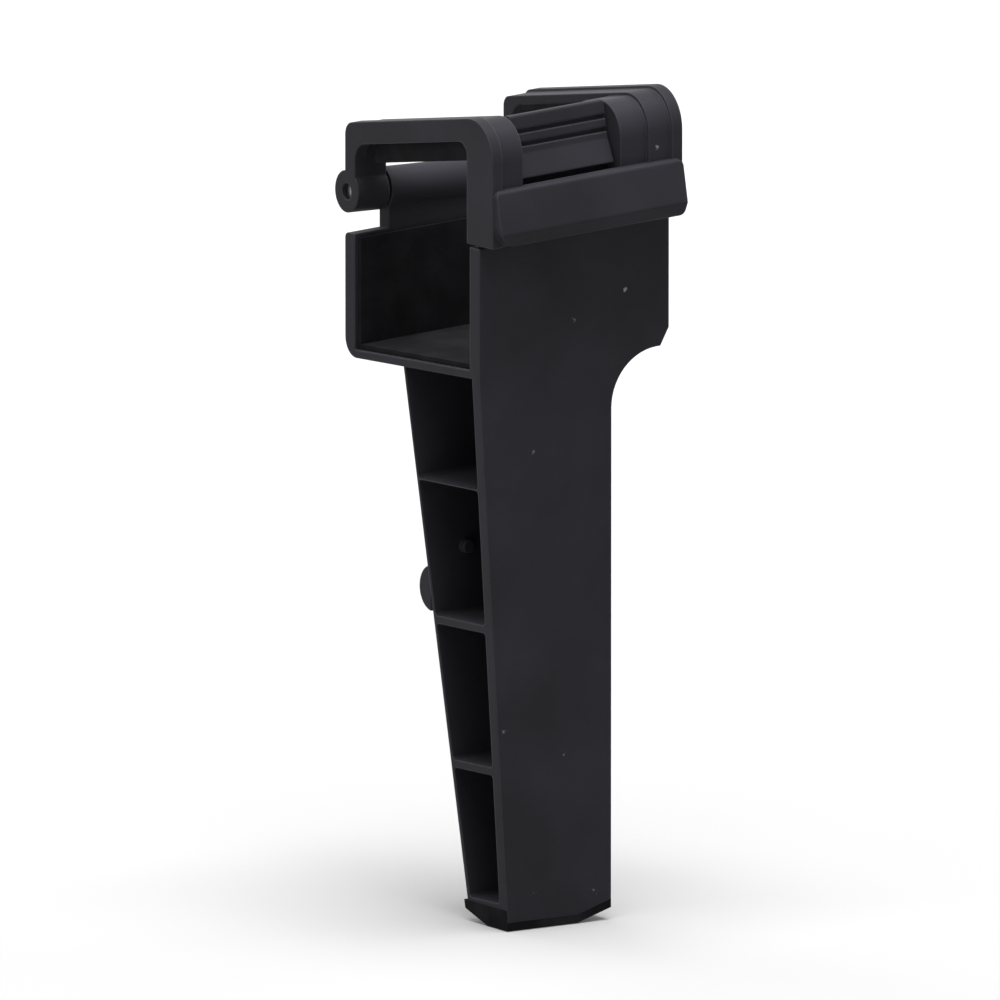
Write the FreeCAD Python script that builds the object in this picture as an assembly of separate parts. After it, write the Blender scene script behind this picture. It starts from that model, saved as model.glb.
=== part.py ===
# Clip-on landing leg: a ribbed leg under a rubber-lined collar, which a hinged snap clasp
# closes over a clamped bar. Millimetres, +Z up.
# Origin: middle of the clamped bar's passage. +X inboard along the bar, -Y the smooth front.
import FreeCAD, Part
import math
import os
from FreeCAD import Vector

# Passage for the clamped bar, measured between the soft liners
passage_depth = 15.0
passage_height = 14.4
bar_rise_deg = 4.0      # the bar climbs towards the inboard side
bed_drop_deg = 2.5      # its underside leans a little down towards the back
top_drop_deg = 8.6      # and its top leans more

# Collar and leg walls
collar_width = 16.8
wall = 1.3
cradle_t = 0.6
liner_t = 0.4
liner_side_gap = 0.3
seam_z = 2.0            # top of the collar's front wall, where the clasp begins
seam_gap = 0.25
rear_wall_top = 0.8
corner_w = 0.75         # cut corner under the inboard edge
corner_h = 1.3
rear_wall_round = 0.4
bed_round = 1.5         # outer bend from the bed into the rear wall
edge_round = 0.3        # small moulded edges

# Leg
sole_z = -50.25         # underside of the rubber foot
leg_width_top = 11.7
leg_width_foot = 9.2
leg_depth_top = 10.9
leg_depth_foot = 5.6
leg_fillet = 4.3        # hollow curve from the collar into the leg
web_t = 1.2
leg_wall_t = 1.0        # the leg's smooth front
back_wall_t = 0.7
back_round = 0.5
rib_t = 0.6
rib_drop_deg = 2.0      # the ribs lean down towards the back
rib_pitch = 10.8
first_rib_drop = 16.6   # middle of the top rib below the passage centre
rib_count = 3
bay_corner = 0.3
foot_floor_t = 1.35
foot_rubber_t = 0.65
foot_chamfer_h = 0.9
foot_chamfer_inboard = 3.0
foot_chamfer_rear = 2.8

# Small moulded marks on the back wall
pip_r = 0.5
pip_h = 0.5
pip_inset = 3.4
pip_drop = 22.5
nub_height = 3.3
nub_out = 1.2
nub_width = 2.6
nub_drop = 25.4

# Gussets behind the leg
gusset_t = 1.2
gusset_drop = 8.0
gusset_end_inset = 1.5
gusset_end_h = 0.5

# Clasp
crown_h = 3.25          # strap top above the passage
strap_w_outer = 2.8
strap_w_inner = 2.85
strap_proud = 1.8       # the straps' front stands out from the collar's wall
band_t = 0.7
band_inset = 0.2
rim_w = 0.9
rim_h = 1.7
front_round = 3.0
front_bend = 1.0
rear_round = 1.0
rear_bend = 1.5
strap_liner_gap = 0.2   # from a strap liner's end to the strap's bend
shoulder_w = 2.35       # plate beside the inner strap, bent over the top edge
shoulder_reach = 5.6
shoulder_inset = 0.45
shoulder_t = 0.8
lip_h = 4.25
lip_top_out = 0.3
lip_flare = 0.7
lip_bevel_h = 1.05
lip_bevel_in = 0.5
lip_end_inset = 0.15
lip_big_corner = 1.6
lip_small_corner = 0.5

# Catch tongue, which stands between the two straps
tongue_gap = 0.25
tongue_t = 1.0
tongue_root_z = -0.2
tongue_top_drop = 0.45
tongue_top_t = 0.7
tongue_round = 0.2
catch_gap = 0.4         # from the top of the lip to the catch's ledge
catch_out = 0.85
catch_ramp_h = 1.7
groove_w = 0.35
groove_d = 0.25
groove_pitch = 0.95
groove_count = 2

# Hinge behind the collar
hinge_y = 9.0
hinge_z = 3.3
knuckle_r = 1.6
pin_r = 0.6
pin_play = 0.04
pin_end_gap = 0.4
swing_gap = 0.06

# Places worked out from the sizes above
rise = math.tan(math.radians(bar_rise_deg))
bed_drop = math.tan(math.radians(bed_drop_deg))
top_drop = math.tan(math.radians(top_drop_deg))
rib_drop = math.tan(math.radians(rib_drop_deg))
x_out = -collar_width / 2
x_in = collar_width / 2
y_liner = passage_depth / 2
y_wall = y_liner + liner_t
y_face = y_wall + wall
y_clasp = y_face + strap_proud
passage_floor_h = -passage_height / 2
bed_h = passage_floor_h - liner_t
under_h = bed_h - cradle_t
passage_top_h = passage_height / 2
crown = passage_top_h + crown_h
outer_liner_t = crown_h - band_inset - band_t
gate_z = seam_z + seam_gap
lip_top = gate_z + lip_h
x_web = x_out + leg_width_top
x_foot = x_web - leg_width_foot
strap_out = x_out + strap_w_outer
strap_in = x_in - strap_w_inner
win_in = strap_in - shoulder_w
tongue_out = strap_out + tongue_gap
tongue_in = win_in - tongue_gap
knuckle_in = strap_in - tongue_gap
y_catch = -y_face - catch_out
catch_z = lip_top + catch_gap
ramp_top = catch_z + catch_ramp_h
foot_z = sole_z + foot_rubber_t
foot_edge_z = foot_z + foot_chamfer_h


def bed_level(y, height):
    """Height at depth y of a surface that leans with the clamped bar's underside."""
    return height - y * bed_drop


def top_level(y, height):
    """Height at depth y of a surface that leans with the clamped bar's top."""
    return height - y * top_drop


def leg_top(y):
    """Underside of the cradle above the leg's outboard edge."""
    return bed_level(y, under_h) + x_out * rise


def leg_back(z):
    """Depth of the leg's back face at height z."""
    top_z = leg_top(0)
    share = (top_z - z) / (top_z - foot_z)
    depth = leg_depth_top + share * (leg_depth_foot - leg_depth_top)
    return -y_face + depth


def leg_edge(z):
    """The leg's outboard edge at height z."""
    top_z = leg_top(-y_face)
    return x_out + (top_z - z) / (top_z - foot_z) * (x_foot - x_out)


def rounded_wire(corners, place):
    """Closed wire through (u, v, radius) corners, each turned into an arc if it has a radius."""
    count = len(corners)
    edges = []
    first = last = None
    for i in range(count):
        u, v, radius = corners[i]
        point = Vector(u, v, 0)
        before = Vector(corners[i - 1][0], corners[i - 1][1], 0) - point
        after = Vector(corners[(i + 1) % count][0], corners[(i + 1) % count][1], 0) - point
        before.normalize()
        after.normalize()
        start = end = point
        arc = None
        if radius > 0:
            half = before.getAngle(after) / 2
            reach = radius / math.tan(half)
            start = point + before * reach
            end = point + after * reach
            middle = before + after
            middle.normalize()
            bulge = radius / math.sin(half) - radius
            arc = Part.Arc(place(start), place(point + middle * bulge), place(end))
        if last is not None:
            edges.append(Part.makeLine(place(last), place(start)))
        else:
            first = start
        if arc is not None:
            edges.append(arc.toShape())
        last = end
    edges.append(Part.makeLine(place(last), place(first)))
    return Part.Wire(edges)


def along_bar(corners, x0, x1, climb=rise):
    """Sweep a (y, z, radius) outline along the bar, climbing with it."""
    wire = rounded_wire(corners, lambda p: Vector(x0, p.x, p.y + x0 * climb))
    return Part.Face(wire).extrude(Vector(x1 - x0, 0, (x1 - x0) * climb))


def along_depth(corners, y0, y1, fall=0.0):
    """Sweep an (x, z, radius) outline from front to back."""
    wire = rounded_wire(corners, lambda p: Vector(p.x, y0, p.y - y0 * fall))
    return Part.Face(wire).extrude(Vector(0, y1 - y0, (y0 - y1) * fall))


def rod(radius, x0, x1):
    """Cylinder on the hinge axis."""
    return Part.makeCylinder(radius, x1 - x0, Vector(x0, hinge_y, hinge_z), Vector(1, 0, 0))


def front_outline(bottom_z, chamfer_z):
    """The front view of the collar's wall and the leg."""
    collar_bottom = bed_level(-y_face, under_h)
    return [
        (x_out, seam_z + x_out * rise, 0),
        (x_in, seam_z + x_in * rise, 0),
        (x_in, collar_bottom + x_in * rise + corner_h, 0),
        (x_in - corner_w, collar_bottom + (x_in - corner_w) * rise, 0),
        (x_web, collar_bottom + x_web * rise, leg_fillet),
        (x_web, chamfer_z, 0),
        (x_web - foot_chamfer_inboard, bottom_z, 0),
        (x_foot, bottom_z, 0),
        (x_out, leg_top(-y_face), 0),
    ]


def side_outline(bottom_z, chamfer_z):
    """The side view of the front wall and the tapering leg."""
    y_shelf = leg_back(leg_top(0))
    rear = leg_back(foot_z)
    return [
        (-y_face, crown, 0),
        (-y_wall, crown, 0),
        (-y_wall, bed_level(-y_wall, bed_h), 0),
        (y_shelf, bed_level(y_shelf, bed_h), 0),
        (leg_back(foot_edge_z), chamfer_z, 0),
        (rear - foot_chamfer_rear, bottom_z, 0),
        (-y_face, bottom_z, 0),
    ]


def bay_edge(height):
    """A bay's roof or floor, from the front wall to the back wall, leaning as the ribs do."""
    y_front = -y_face + leg_wall_t
    y_rear = leg_back(height) - back_wall_t
    return [(y, height - (y + y_face) * rib_drop, bay_corner) for y in (y_front, y_rear)]


def rib_bays():
    """Open bays between the ribs, cut in from the outboard side."""
    middles = [-first_rib_drop - i * rib_pitch for i in range(rib_count)]
    tops = [None] + [z - rib_t / 2 for z in middles]
    floors = [z + rib_t / 2 for z in middles] + [foot_z + foot_floor_t]
    bays = []
    for top, floor in zip(tops, floors):
        if top is None:
            y_front = -y_face + leg_wall_t
            y_rear = leg_back(leg_top(0)) - back_wall_t
            roof = [(y_front, bed_level(y_front, under_h), 0), (y_rear, bed_level(y_rear, under_h), 0)]
        else:
            roof = bay_edge(top)
        climb = rise if top is None else 0
        outline = roof[::-1] + bay_edge(floor)
        bays.append(along_bar(outline, x_out - wall, x_web - web_t, climb))
    return bays


def cradle():
    """Bed under the bar, turned up into the low rear wall."""
    corners = [
        (-y_face, bed_level(-y_face, bed_h), 0),
        (y_wall, bed_level(y_wall, bed_h), 0),
        (y_wall, rear_wall_top, 0),
        (y_face, rear_wall_top, rear_wall_round),
        (y_face, bed_level(y_face, under_h), bed_round),
        (-y_face, bed_level(-y_face, under_h), 0),
    ]
    bed = along_bar(corners, x_out, x_in)
    bottom = under_h + x_in * rise
    notch = [
        (x_in, bottom + corner_h, 0),
        (x_in + wall, bottom - wall, 0),
        (x_in - corner_w, bottom - corner_w * rise, 0),
    ]
    return bed.cut(along_depth(notch, -2 * y_face, 2 * y_face, bed_drop))


def gussets():
    """Two thin webs that carry the bed's overhang behind the leg."""
    low = leg_top(0) - gusset_drop
    y_root = leg_back(leg_top(0)) - back_wall_t / 2
    y_end = y_face - gusset_end_inset
    mid_bed = bed_h - cradle_t / 2
    corners = [
        (y_root, bed_level(y_root, mid_bed), 0),
        (y_end, bed_level(y_end, mid_bed), 0),
        (y_end, bed_level(y_end, under_h) - gusset_end_h, 0),
        (leg_back(low) - back_wall_t / 2, low, 0),
    ]
    middle = (x_out + x_web) / 2
    return [along_bar(corners, x, x + gusset_t, 0) for x in (middle - gusset_t / 2, x_web - gusset_t)]


def tongue():
    """Catch tongue: a ramp with a ledge that holds the clasp's cross-bar down."""
    top = top_level(-y_face, crown) - tongue_top_drop
    reach = math.hypot(hinge_y - y_catch, catch_z + tongue_in * rise - hinge_z)
    y_top = hinge_y - math.sqrt(reach ** 2 - (top + tongue_in * rise - hinge_z) ** 2)
    y_back = -y_face + tongue_t
    corners = [
        (-y_face, tongue_root_z, 0),
        (-y_face, catch_z, 0),
        (y_catch, catch_z, 0),
        (-y_face, ramp_top, 0),
        (y_top, top, tongue_round),
        (y_top + tongue_top_t, top, tongue_round),
        (y_back, ramp_top, 0),
        (y_back, tongue_root_z, 0),
    ]
    blade = along_bar(corners, tongue_out, tongue_in)
    lean = (y_top + y_face) / (top - ramp_top)
    for i in range(groove_count):
        z = ramp_top + groove_pitch * (i + 0.5)
        y = -y_face + (z - ramp_top) * lean
        y_clear = y - wall
        y_bottom = y + groove_d
        z_top = z + groove_w
        groove = [(y_clear, z, 0), (y_bottom, z, 0), (y_bottom, z_top, 0), (y_clear, z_top, 0)]
        blade = blade.cut(along_bar(groove, tongue_out, tongue_in))
    return blade, reach


def back_marks():
    """A round pip inside the second bay and a half-round nub outside the back wall."""
    pip_y = leg_back(-pip_drop) - back_wall_t - pip_h
    pip_base = Vector(leg_edge(-pip_drop) + pip_inset, pip_y, -pip_drop)
    pip = Part.makeCylinder(pip_r, pip_h + back_wall_t / 2, pip_base, Vector(0, 1, 0))
    radius = ((nub_height / 2) ** 2 + nub_out ** 2) / (2 * nub_out)
    nub_y = leg_back(-nub_drop) + nub_out - radius
    nub_base = Vector(leg_edge(-nub_drop - nub_height / 2), nub_y, -nub_drop)
    nub = Part.makeCylinder(radius, nub_width, nub_base, Vector(1, 0, 0))
    wide = collar_width
    clear_y = leg_back(-nub_drop) - back_wall_t / 2 - wide
    clear = Part.makeBox(wide, wide, wide, Vector(x_out, clear_y, -nub_drop - wide / 2))
    return pip, nub.cut(clear)


def hinge_block():
    """The body's middle knuckle, standing on the rear wall."""
    post = Part.makeBox(knuckle_in - tongue_out, wall, hinge_z, Vector(tongue_out, y_wall, 0))
    return post.fuse(rod(knuckle_r, tongue_out, knuckle_in)).cut(rod(pin_r, x_out, x_in))


def rounded_back(leg):
    """Round the two long edges of the leg's back."""
    back = [edge for edge in leg.Edges if edge.Length > -sole_z / 2 and edge.CenterOfMass.y > -y_face / 2]
    return leg.makeFillet(back_round, back)


def leg_body(blade):
    """The leg, collar, catch tongue and middle knuckle are one black moulding."""
    front = along_depth(front_outline(foot_z, foot_edge_z), -y_face, y_face)
    side = along_bar(side_outline(foot_z, foot_edge_z), x_out, x_in, 0)
    leg = rounded_back(front.common(side))
    for bay in rib_bays():
        leg = leg.cut(bay)
    leg = leg.cut(above_bed())
    pip, nub = back_marks()
    parts = [cradle(), blade, pip, nub, hinge_block()] + gussets()
    return leg.multiFuse(parts).removeSplitter()


def above_bed():
    """Clears the passage above the bed, which the leg's block would fill."""
    high = 2 * crown
    corners = [
        (-y_wall, bed_level(-y_wall, bed_h), 0),
        (y_face, bed_level(y_face, bed_h), 0),
        (y_face, high, 0),
        (-y_wall, high, 0),
    ]
    return along_bar(corners, x_out - wall, x_in + wall)


def hoop(inset, thick, x0, x1):
    """Front run, top run and rear run of a strap as one bent band."""
    y_front = -y_clasp + inset
    y_rear = y_face - inset
    outer = crown - inset
    inner = outer - thick
    corners = [
        (y_front, gate_z, 0),
        (y_front, top_level(y_front, outer), front_round - inset),
        (y_rear, top_level(y_rear, outer), rear_round - inset),
        (y_rear, hinge_z, 0),
        (y_wall, hinge_z, 0),
        (y_wall, top_level(y_wall, inner), rear_bend),
        (-y_liner, top_level(-y_liner, inner), front_bend),
        (-y_liner, gate_z, 0),
    ]
    return along_bar(corners, x0, x1)


def shoulder():
    """Plate that narrows the window beside the inner strap and bends over its top edge."""
    y_front = -y_clasp + shoulder_inset
    y_end = -y_clasp + shoulder_reach
    outer = crown - shoulder_inset
    inner = outer - shoulder_t
    corners = [
        (y_front, gate_z, 0),
        (y_front, top_level(y_front, outer), front_round - shoulder_inset),
        (y_end, top_level(y_end, outer), 0),
        (y_end, top_level(y_end, inner), 0),
        (-y_liner, top_level(-y_liner, inner), front_bend),
        (-y_liner, gate_z, 0),
    ]
    return along_bar(corners, win_in, strap_in)


def finger_lip(reach):
    """Cross-bar between the straps with its flared finger lip, hollowed on the swing's arc."""
    y_top = -y_clasp - lip_top_out
    y_low = y_top - lip_flare
    section = [
        (-y_face, gate_z, 0),
        (-y_face, lip_top, 0),
        (y_top, lip_top, edge_round),
        (y_low, gate_z + lip_bevel_h, edge_round),
        (y_low + lip_bevel_in, gate_z, edge_round),
    ]
    x0 = x_out + lip_end_inset
    x1 = x_in - lip_end_inset
    face = [
        (x0, gate_z + x0 * rise, lip_big_corner),
        (x0, lip_top + x0 * rise, lip_small_corner),
        (x1, lip_top + x1 * rise, lip_small_corner),
        (x1, gate_z + x1 * rise, lip_small_corner),
    ]
    lip = along_bar(section, x0, x1).common(along_depth(face, 2 * y_low, -y_face))
    return lip.cut(rod(reach + swing_gap, strap_out, win_in))


def clasp_gate(reach):
    """The clasp is one moulding: two rimmed straps, the shoulder, the cross-bar and two knuckles."""
    parts = [
        hoop(band_inset, band_t, x_out, strap_out),
        hoop(band_inset, band_t, strap_in, x_in),
        hoop(0, rim_h, x_out, x_out + rim_w),
        hoop(0, rim_h, x_in - rim_w, x_in),
        shoulder(),
        finger_lip(reach),
        rod(knuckle_r, x_out, strap_out),
        rod(knuckle_r, strap_in, x_in),
    ]
    gate = parts[0].multiFuse(parts[1:])
    return gate.cut(rod(pin_r + pin_play, x_out - wall, x_in + wall)).removeSplitter()


def wall_liner(y0, y1, top):
    """Thin liner on the inner face of the front or rear wall."""
    corners = [(y0, bed_level(y0, bed_h), 0), (y1, bed_level(y1, bed_h), 0), (y1, top, 0), (y0, top, 0)]
    return along_bar(corners, x_out + liner_side_gap, x_in - liner_side_gap)


def cradle_liner():
    """Thin liner on the bed, between the two wall liners."""
    corners = [
        (-y_liner, bed_level(-y_liner, bed_h), 0),
        (y_liner, bed_level(y_liner, bed_h), 0),
        (y_liner, bed_level(y_liner, passage_floor_h), 0),
        (-y_liner, bed_level(-y_liner, passage_floor_h), 0),
    ]
    return along_bar(corners, x_out + liner_side_gap, x_in - liner_side_gap)


def strap_liner(thick, x0, x1):
    """Liner under a strap's top run, clear of the bends at its ends."""
    top = crown - band_inset - band_t
    front = -y_liner + front_bend / math.tan(math.radians(90 - top_drop_deg) / 2) + strap_liner_gap
    rear = y_wall - rear_bend / math.tan(math.radians(90 + top_drop_deg) / 2) - strap_liner_gap
    corners = [
        (front, top_level(front, top), 0),
        (rear, top_level(rear, top), 0),
        (rear, top_level(rear, top - thick), 0),
        (front, top_level(front, top - thick), 0),
    ]
    return along_bar(corners, x0, x1)


def rubber_foot():
    """Rubber sole that follows the chamfered underside of the leg."""
    front = along_depth(front_outline(sole_z, foot_edge_z - foot_rubber_t), -y_face, y_face)
    side = along_bar(side_outline(sole_z, foot_edge_z - foot_rubber_t), x_out, x_in, 0)
    leg = along_depth(front_outline(foot_z, foot_edge_z), -y_face, y_face)
    leg = leg.common(along_bar(side_outline(foot_z, foot_edge_z), x_out, x_in, 0))
    sole = front.common(side).cut(leg)
    slab = Part.makeBox(collar_width, 2 * y_face, foot_edge_z - sole_z, Vector(x_out, -y_face, sole_z))
    return sole.common(slab)


def main():
    os.makedirs("parts", exist_ok=True)
    blade, reach = tongue()
    nodes = {
        "leg_body": leg_body(blade),
        "clasp_gate": clasp_gate(reach),
        "hinge_pin": rod(pin_r, x_out + pin_end_gap, x_in - pin_end_gap),
        "front_liner": wall_liner(-y_wall, -y_liner, tongue_root_z - tongue_gap),
        "rear_liner": wall_liner(y_liner, y_wall, rear_wall_top - liner_side_gap),
        "cradle_liner": cradle_liner(),
        "outer_strap_liner": strap_liner(outer_liner_t, x_out + rim_w, strap_out),
        "inner_strap_liner": strap_liner(liner_t, strap_in, x_in - rim_w),
        "rubber_foot": rubber_foot(),
    }
    for name, shape in nodes.items():
        print(name, len(shape.Solids), round(shape.Volume, 2), shape.isValid(), shape.BoundBox)
        shape.exportStep("parts/" + name + ".step")


main()
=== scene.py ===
"""Looks of a clip-on landing leg: moulded black nylon, rubber liners and foot, a steel hinge pin."""

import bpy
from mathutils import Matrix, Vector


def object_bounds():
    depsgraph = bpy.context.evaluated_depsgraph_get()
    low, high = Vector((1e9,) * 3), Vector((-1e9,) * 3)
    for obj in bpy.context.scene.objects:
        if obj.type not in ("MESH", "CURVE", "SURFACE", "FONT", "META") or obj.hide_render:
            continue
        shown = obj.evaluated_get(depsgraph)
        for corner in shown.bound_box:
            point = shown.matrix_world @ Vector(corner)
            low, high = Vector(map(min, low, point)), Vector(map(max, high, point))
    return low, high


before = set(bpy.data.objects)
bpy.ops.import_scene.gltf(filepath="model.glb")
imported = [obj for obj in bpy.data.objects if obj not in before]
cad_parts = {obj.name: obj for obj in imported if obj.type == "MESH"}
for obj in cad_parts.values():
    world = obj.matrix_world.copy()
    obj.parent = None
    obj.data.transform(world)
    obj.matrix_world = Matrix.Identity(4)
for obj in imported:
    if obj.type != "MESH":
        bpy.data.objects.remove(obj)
cad_box = [list(corner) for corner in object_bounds()]

import math

import bpy
from mathutils import Vector

MM = 0.001
WHITE = "#FFFFFF"

# The photograph's viewing angle, with a long lens from as far away as it was taken
VIEW_AZIMUTH = -33.0
VIEW_ELEVATION = 10.0
VIEW_DISTANCE = 1.8
PICTURE_SIDE = 1000
PICTURE_PX_PER_MM = 13.4
SENSOR_MM = 36.0
AIM = Vector((-0.0006, 0.0, -0.0195))


def linear(hex_colour):
    """An sRGB hex colour as linear light."""
    channels = []
    for i in (1, 3, 5):
        c = int(hex_colour[i:i + 2], 16) / 255
        channels.append(c / 12.92 if c <= 0.04045 else ((c + 0.055) / 1.055) ** 2.4)
    return (*channels, 1.0)


def add(tree, kind, inputs=None, **settings):
    """Add a node with its settings; inputs are values or the sockets that feed them."""
    node = tree.nodes.new(kind)
    for name, value in settings.items():
        setattr(node, name, value)
    for key, value in (inputs or {}).items():
        if isinstance(value, bpy.types.NodeSocket):
            tree.links.new(value, node.inputs[key])
        else:
            node.inputs[key].default_value = value
    return node


def material(name):
    """An empty node material with its surface shader and the piece's own coordinates."""
    made = bpy.data.materials.new(name)
    made.use_nodes = True
    tree = made.node_tree
    tree.nodes.clear()
    shader = add(tree, "ShaderNodeBsdfPrincipled")
    out = add(tree, "ShaderNodeOutputMaterial")
    tree.links.new(shader.outputs["BSDF"], out.inputs["Surface"])
    place = add(tree, "ShaderNodeTexCoord").outputs["Object"]
    return made, tree, shader, place


# ---------------------------------------------------------------- nylon
# Glass-filled nylon, injection moulded: a deep neutral black that the eye reads as satin.
NYLON_BLACK = "#26262A"
NYLON_FLOW = "#2D2C31"
NYLON_FLOW_SIZE = 9 * MM      # faint clouds where the melt flowed and cooled
NYLON_SATIN = (0.46, 0.54)    # roughness, smoother and rougher with the same clouds
NYLON_IOR = 1.53
NYLON_SHINE = 0.04            # specular level, low because the mould grain scatters it
NYLON_GRAIN = 0.16 * MM       # spark-eroded mould grain; 0.05 mm on the real one, coarser to show
NYLON_GRAIN_DEPTH = 0.03 * MM
NYLON_EDGE = 0.2 * MM         # edges as the mould's tool leaves them, never sharp
NYLON_EDGE_HIGHLIGHT_AND_WEAR = "#4A4A50"      # painted highlight along the rounded edges, with a little handling wear
NYLON_EDGE_HIGHLIGHT_AND_WEAR_SHARE = 0.55
NYLON_DUST = "#8C8C90"        # ragged specks of dust, each in a cell of its own
DUST_SPACING = 0.9 * MM
DUST_SIZE = 0.11              # reach of a speck, in cells, times the grain's height
DUST_SHARE = 0.985            # this share of the cells stays clean


def moulded_nylon():
    """Satin, finely grained black with faint flow clouds, a painted highlight with a little handling
    wear along the edges, and a little dust.
    """
    made, tree, shader, place = material("moulded_black_nylon")
    grain = add(tree, "ShaderNodeTexNoise", {
        "Vector": place, "Scale": 1 / NYLON_GRAIN, "Detail": 2.0})
    flow = add(tree, "ShaderNodeTexNoise", {
        "Vector": place, "Scale": 1 / NYLON_FLOW_SIZE, "Detail": 3.0})
    cloud = add(tree, "ShaderNodeMapRange", {
        "Value": flow.outputs["Fac"], "From Min": 0.35, "From Max": 0.65})
    tone = add(tree, "ShaderNodeMix", {
        "Factor": cloud.outputs["Result"], "A": linear(NYLON_BLACK), "B": linear(NYLON_FLOW)},
        data_type="RGBA")

    # A speck is dusted where its cell is one of the few, more strongly in some than in others
    cells = add(tree, "ShaderNodeTexVoronoi", {"Vector": place, "Scale": 1 / DUST_SPACING})
    ragged = add(tree, "ShaderNodeMath", {
        0: grain.outputs["Fac"], 1: cells.outputs["Distance"]}, operation="MULTIPLY")
    near = add(tree, "ShaderNodeMapRange", {
        "Value": ragged.outputs["Value"], "From Min": DUST_SIZE, "From Max": DUST_SIZE / 2})
    pick = add(tree, "ShaderNodeSeparateColor", {"Color": cells.outputs["Color"]})
    few = add(tree, "ShaderNodeMath", {
        0: pick.outputs["Red"], 1: DUST_SHARE}, operation="GREATER_THAN")
    weight = add(tree, "ShaderNodeMath", {
        0: few.outputs["Value"], 1: pick.outputs["Green"]}, operation="MULTIPLY")
    faint = add(tree, "ShaderNodeMath", {
        0: near.outputs["Result"], 1: weight.outputs["Value"]}, operation="MULTIPLY")

    # Edges get a painted highlight, with a little handling wear, where the rounded normal leaves the
    # flat one
    edges = add(tree, "ShaderNodeBevel", {"Radius": NYLON_EDGE}, samples=8)
    flat = add(tree, "ShaderNodeNewGeometry")
    alike = add(tree, "ShaderNodeVectorMath", {
        0: edges.outputs["Normal"], 1: flat.outputs["Normal"]}, operation="DOT_PRODUCT")
    edge_highlight_and_wear = add(tree, "ShaderNodeMapRange", {
        "Value": alike.outputs["Value"], "From Min": 0.99, "From Max": 0.8,
        "To Max": NYLON_EDGE_HIGHLIGHT_AND_WEAR_SHARE})
    # The painted edge highlight is mixed into the nylon's colour here
    tone_with_edge_highlight = add(tree, "ShaderNodeMix", {
        "Factor": edge_highlight_and_wear.outputs["Result"], "A": tone.outputs["Result"],
        "B": linear(NYLON_EDGE_HIGHLIGHT_AND_WEAR)}, data_type="RGBA")
    colour = add(tree, "ShaderNodeMix", {
        "Factor": faint.outputs["Value"], "A": tone_with_edge_highlight.outputs["Result"],
        "B": linear(NYLON_DUST)}, data_type="RGBA")

    satin = add(tree, "ShaderNodeMapRange", {
        "Value": flow.outputs["Fac"], "From Min": 0.3, "From Max": 0.7,
        "To Min": NYLON_SATIN[0], "To Max": NYLON_SATIN[1]})
    bump = add(tree, "ShaderNodeBump", {
        "Height": grain.outputs["Fac"], "Strength": 0.35, "Distance": NYLON_GRAIN_DEPTH,
        "Normal": edges.outputs["Normal"]})
    tree.links.new(colour.outputs["Result"], shader.inputs["Base Color"])
    tree.links.new(satin.outputs["Result"], shader.inputs["Roughness"])
    tree.links.new(bump.outputs["Normal"], shader.inputs["Normal"])
    shader.inputs["IOR"].default_value = NYLON_IOR
    shader.inputs["Specular IOR Level"].default_value = NYLON_SHINE
    return made


# ---------------------------------------------------------------- rubber
# Moulded rubber: matt, with no shine, and a soft unevenness where it is worn.
LINER_DARK, LINER_WORN, LINER_ROUGH = "#161618", "#1E1E20", 0.72
FOOT_DARK, FOOT_WORN, FOOT_ROUGH = "#131315", "#212123", 0.8
RUBBER_IOR = 1.5
RUBBER_SHINE = 0.03
RUBBER_SKIN = 0.22 * MM       # moulded skin, drawn coarse enough to show
RUBBER_SKIN_DEPTH = 0.04 * MM
RUBBER_WEAR_SIZE = 2.5 * MM


def moulded_rubber(name, dark, worn, rough):
    """Matt black skin, a little paler in worn patches."""
    made, tree, shader, place = material(name)
    skin = add(tree, "ShaderNodeTexNoise", {
        "Vector": place, "Scale": 1 / RUBBER_SKIN, "Detail": 3.0})
    wear = add(tree, "ShaderNodeTexNoise", {
        "Vector": place, "Scale": 1 / RUBBER_WEAR_SIZE, "Detail": 4.0})
    worn_share = add(tree, "ShaderNodeMapRange", {
        "Value": wear.outputs["Fac"], "From Min": 0.4, "From Max": 0.7})
    tone = add(tree, "ShaderNodeMix", {
        "Factor": worn_share.outputs["Result"], "A": linear(dark), "B": linear(worn)},
        data_type="RGBA")
    bump = add(tree, "ShaderNodeBump", {
        "Height": skin.outputs["Fac"], "Strength": 0.4, "Distance": RUBBER_SKIN_DEPTH})
    tree.links.new(tone.outputs["Result"], shader.inputs["Base Color"])
    tree.links.new(bump.outputs["Normal"], shader.inputs["Normal"])
    shader.inputs["Roughness"].default_value = rough
    shader.inputs["IOR"].default_value = RUBBER_IOR
    shader.inputs["Specular IOR Level"].default_value = RUBBER_SHINE
    return made


# ---------------------------------------------------------------- steel
# Stainless wire, drawn and cut to length: bright, with fine marks along it from the die.
STEEL_DARK = "#A3A4A6"
STEEL_BRIGHT = "#C2C3C5"
STEEL_ROUGH = (0.22, 0.4)
DRAWN_LINE = 0.12 * MM        # spacing of the marks round the pin
DRAWN_STRETCH = 0.05          # each is twenty times as long, along X
DRAWN_DEPTH = 0.01 * MM


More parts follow.
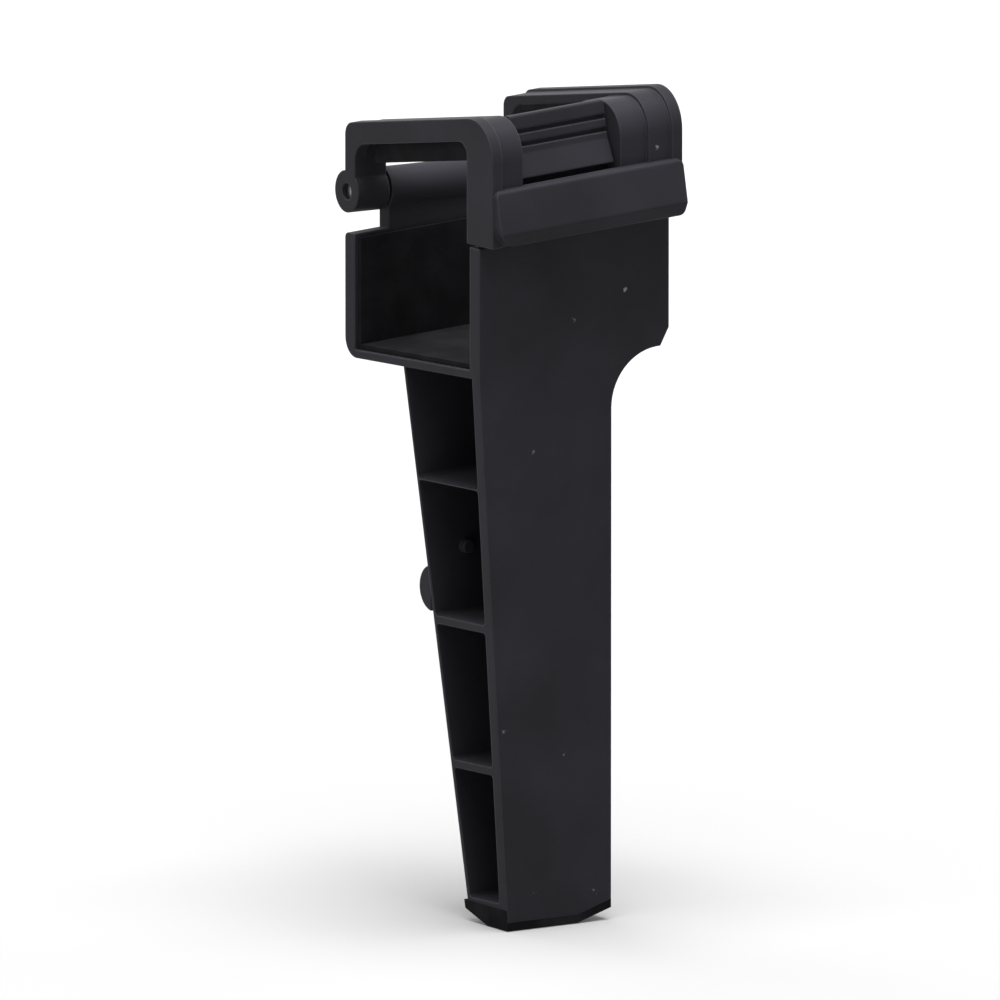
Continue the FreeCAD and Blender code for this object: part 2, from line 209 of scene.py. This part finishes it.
def drawn_steel():
    """Bright metal with fine lines along the pin."""
    made, tree, shader, place = material("drawn_stainless_steel")
    along = add(tree, "ShaderNodeMapping", {"Vector": place, "Scale": (DRAWN_STRETCH, 1.0, 1.0)})
    marks = add(tree, "ShaderNodeTexNoise", {
        "Vector": along.outputs["Vector"], "Scale": 1 / DRAWN_LINE, "Detail": 2.0})
    rough = add(tree, "ShaderNodeMapRange", {
        "Value": marks.outputs["Fac"], "From Min": 0.3, "From Max": 0.7,
        "To Min": STEEL_ROUGH[0], "To Max": STEEL_ROUGH[1]})
    tone = add(tree, "ShaderNodeMix", {
        "Factor": marks.outputs["Fac"], "A": linear(STEEL_DARK), "B": linear(STEEL_BRIGHT)},
        data_type="RGBA")
    bump = add(tree, "ShaderNodeBump", {
        "Height": marks.outputs["Fac"], "Strength": 0.3, "Distance": DRAWN_DEPTH})
    tree.links.new(tone.outputs["Result"], shader.inputs["Base Color"])
    tree.links.new(rough.outputs["Result"], shader.inputs["Roughness"])
    tree.links.new(bump.outputs["Normal"], shader.inputs["Normal"])
    shader.inputs["Metallic"].default_value = 1.0
    return made


# ---------------------------------------------------------------- stage
FLOOR_SIDE = 6.0
FLOOR_GAP = 0.05 * MM         # so the sole and the floor are not one plane
FLOOR_TONE = "#A8A8A8"
FLOOR_GLOW = 0.06             # own glow beneath the leg
LAMP_REACH = 0.45             # here the lamps give half of the floor's white, and its glow the rest
WORLD_LEVEL = 0.24
# name, azimuth, elevation, distance, side in metres, watts
SOFTBOXES = (
    ("key", -35, 66, 0.75, 0.5, 2.6),
    ("top", 20, 86, 0.7, 0.4, 8.0),
    ("ribbed_side", -95, 25, 0.8, 0.5, 1.3),
    ("far_side", 95, 30, 0.9, 0.6, 2.2),
    ("back", 178, 36, 0.9, 0.6, 3.4),
)


def direction(azimuth, elevation):
    """From the leg towards a point round it; azimuth 0 is the smooth front, -90 the ribbed side."""
    a, e = math.radians(azimuth), math.radians(elevation)
    return Vector((math.sin(a) * math.cos(e), -math.cos(a) * math.cos(e), math.sin(e)))


def seen_directly(tree):
    """1 for rays from the camera, or seen in a reflection or through glass."""
    path = add(tree, "ShaderNodeLightPath")
    glass = add(tree, "ShaderNodeMath", {
        0: path.outputs["Is Camera Ray"], 1: path.outputs["Is Transmission Ray"]},
        operation="MAXIMUM")
    gloss = add(tree, "ShaderNodeMath", {
        0: glass.outputs["Value"], 1: path.outputs["Is Glossy Ray"]}, operation="MAXIMUM")
    return gloss.outputs["Value"]


def pale_floor():
    """White floor under the foot, which keeps the leg's soft shadow."""
    side = FLOOR_SIDE / 2
    low = cad_box[0][2] - FLOOR_GAP
    mesh = bpy.data.meshes.new("floor")
    corners = [(-side, -side, low), (side, -side, low), (side, side, low), (-side, side, low)]
    mesh.from_pydata(corners, [], [(0, 1, 2, 3)])
    floor = bpy.data.objects.new("floor", mesh)
    bpy.context.scene.collection.objects.link(floor)
    made = bpy.data.materials.new("white_floor")
    made.use_nodes = True
    tree = made.node_tree
    tree.nodes.clear()
    paint = add(tree, "ShaderNodeBsdfDiffuse", {"Color": linear(FLOOR_TONE)})

    # The glow makes up for the lamps' light as it falls off with distance
    place = add(tree, "ShaderNodeTexCoord").outputs["Object"]
    away = add(tree, "ShaderNodeVectorMath", {0: place, 1: place}, operation="DOT_PRODUCT")
    wider = add(tree, "ShaderNodeMath", {
        0: away.outputs["Value"], 1: LAMP_REACH ** 2}, operation="ADD")
    unlit = add(tree, "ShaderNodeMath", {
        0: away.outputs["Value"], 1: wider.outputs["Value"]}, operation="DIVIDE")
    fill = add(tree, "ShaderNodeMapRange", {
        "Value": unlit.outputs["Value"], "To Min": FLOOR_GLOW, "To Max": 1.0})
    seen = add(tree, "ShaderNodeMath", {
        0: seen_directly(tree), 1: fill.outputs["Result"]}, operation="MULTIPLY")
    glow = add(tree, "ShaderNodeEmission", {
        "Color": linear(WHITE), "Strength": seen.outputs["Value"]})

    both = add(tree, "ShaderNodeAddShader", {
        0: paint.outputs["BSDF"], 1: glow.outputs["Emission"]})
    out = add(tree, "ShaderNodeOutputMaterial")
    tree.links.new(both.outputs["Shader"], out.inputs["Surface"])
    mesh.materials.append(made)


def studio_world():
    """Dim even light all round, which the camera and reflections see as white."""
    world = bpy.data.worlds.new("studio")
    world.use_nodes = True
    tree = world.node_tree
    tree.nodes.clear()
    strength = add(tree, "ShaderNodeMapRange", {
        "Value": seen_directly(tree), "To Min": WORLD_LEVEL, "To Max": 1.0})
    sky = add(tree, "ShaderNodeBackground", {
        "Color": linear(WHITE), "Strength": strength.outputs["Result"]})
    out = add(tree, "ShaderNodeOutputWorld")
    tree.links.new(sky.outputs["Background"], out.inputs["Surface"])
    bpy.context.scene.world = world


def softbox(name, azimuth, elevation, distance, side, watts):
    """A square soft lamp that faces the leg."""
    lamp = bpy.data.lights.new(name, "AREA")
    lamp.shape = "SQUARE"
    lamp.size = side
    lamp.energy = watts
    holder = bpy.data.objects.new(name, lamp)
    bpy.context.scene.collection.objects.link(holder)
    towards = direction(azimuth, elevation)
    holder.location = AIM + towards * distance
    holder.rotation_mode = "QUATERNION"
    holder.rotation_quaternion = towards.to_track_quat("Z", "Y")


def photo_camera():
    """A long lens at the photograph's angle."""
    lens = bpy.data.cameras.new("photo_camera")
    lens.sensor_width = SENSOR_MM
    focal_px = VIEW_DISTANCE / MM * PICTURE_PX_PER_MM
    lens.lens = SENSOR_MM * focal_px / PICTURE_SIDE
    lens.clip_start = 0.1
    lens.clip_end = 20.0
    camera = bpy.data.objects.new("photo_camera", lens)
    bpy.context.scene.collection.objects.link(camera)
    back = direction(VIEW_AZIMUTH, VIEW_ELEVATION)
    camera.location = AIM + back * VIEW_DISTANCE
    camera.rotation_mode = "QUATERNION"
    camera.rotation_quaternion = (-back).to_track_quat("-Z", "Y")
    bpy.context.scene.camera = camera


def dress(nodes, finish):
    """Give CAD pieces a finish."""
    for name in nodes:
        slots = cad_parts[name].data.materials
        for i in range(len(slots)):
            slots[i] = finish


dress(["leg_body", "clasp_gate"], moulded_nylon())
dress(["hinge_pin"], drawn_steel())
dress(["front_liner", "rear_liner", "cradle_liner", "outer_strap_liner", "inner_strap_liner"],
      moulded_rubber("liner_rubber", LINER_DARK, LINER_WORN, LINER_ROUGH))
dress(["rubber_foot"], moulded_rubber("foot_rubber", FOOT_DARK, FOOT_WORN, FOOT_ROUGH))

pale_floor()
studio_world()
for lamp_settings in SOFTBOXES:
    softbox(*lamp_settings)
photo_camera()
bpy.context.scene.view_settings.view_transform = "Standard"
